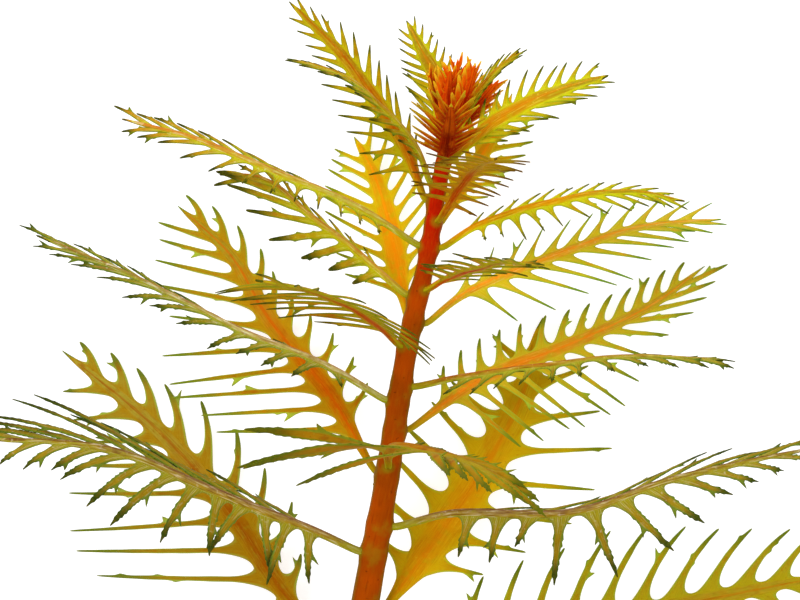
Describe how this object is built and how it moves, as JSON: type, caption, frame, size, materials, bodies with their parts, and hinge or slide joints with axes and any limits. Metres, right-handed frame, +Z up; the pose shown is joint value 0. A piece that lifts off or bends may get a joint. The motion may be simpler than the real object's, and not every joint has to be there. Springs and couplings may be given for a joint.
{
  "type": "marsh mermaid weed shoot",
  "caption": "Cut shoot of marsh mermaid weed lying down: red stem, alternate comb-cut leaves from olive at the base to orange at the crown, and a red bud.",
  "frame": {"origin": "middle of the underside of the shoot's box, on the surface that it lies on", "axes": "+Y from the cut end of the stem towards the crown, +Z up from the surface, +X to the right seen from above with the crown away from the viewer"},
  "size_m": [0.1002, 0.1081, 0.0433],
  "materials": {
    "stem": "satin, saturated red-brown, turning bright red under the crown",
    "mature_leaf": "satin, olive to brown with a pinkish silver midrib",
    "inner_leaf": "satin, translucent yellow-orange with an orange midrib",
    "crown_leaf": "satin, translucent orange with yellow-green edges",
    "bud": "satin, dark red to bright red-orange"
  },
  "bodies": {
    "root": {"stem": "stem", "leaf_01": "mature_leaf", "leaf_02": "mature_leaf", "leaf_03": "inner_leaf", "leaf_04": "inner_leaf", "leaf_05": "inner_leaf", "leaf_06": "mature_leaf", "leaf_07": "mature_leaf", "leaf_08": "inner_leaf", "leaf_09": "mature_leaf", "leaf_10": "inner_leaf", "leaf_11": "mature_leaf", "leaf_12": "mature_leaf", "leaf_13": "mature_leaf", "leaf_14": "inner_leaf", "leaf_15": "inner_leaf", "leaf_16": "inner_leaf", "leaf_17": "mature_leaf", "leaf_18": "inner_leaf", "leaf_19": "inner_leaf", "leaf_20": "inner_leaf", "leaf_21": "crown_leaf", "leaf_22": "crown_leaf", "leaf_23": "crown_leaf", "leaf_24": "crown_leaf", "leaf_25": "crown_leaf", "leaf_26": "crown_leaf", "leaf_27": "crown_leaf", "bud_leaf_1": "bud", "bud_leaf_2": "bud", "bud_leaf_3": "bud", "bud_leaf_4": "bud", "bud_leaf_5": "bud"}
  },
  "joints": []
}
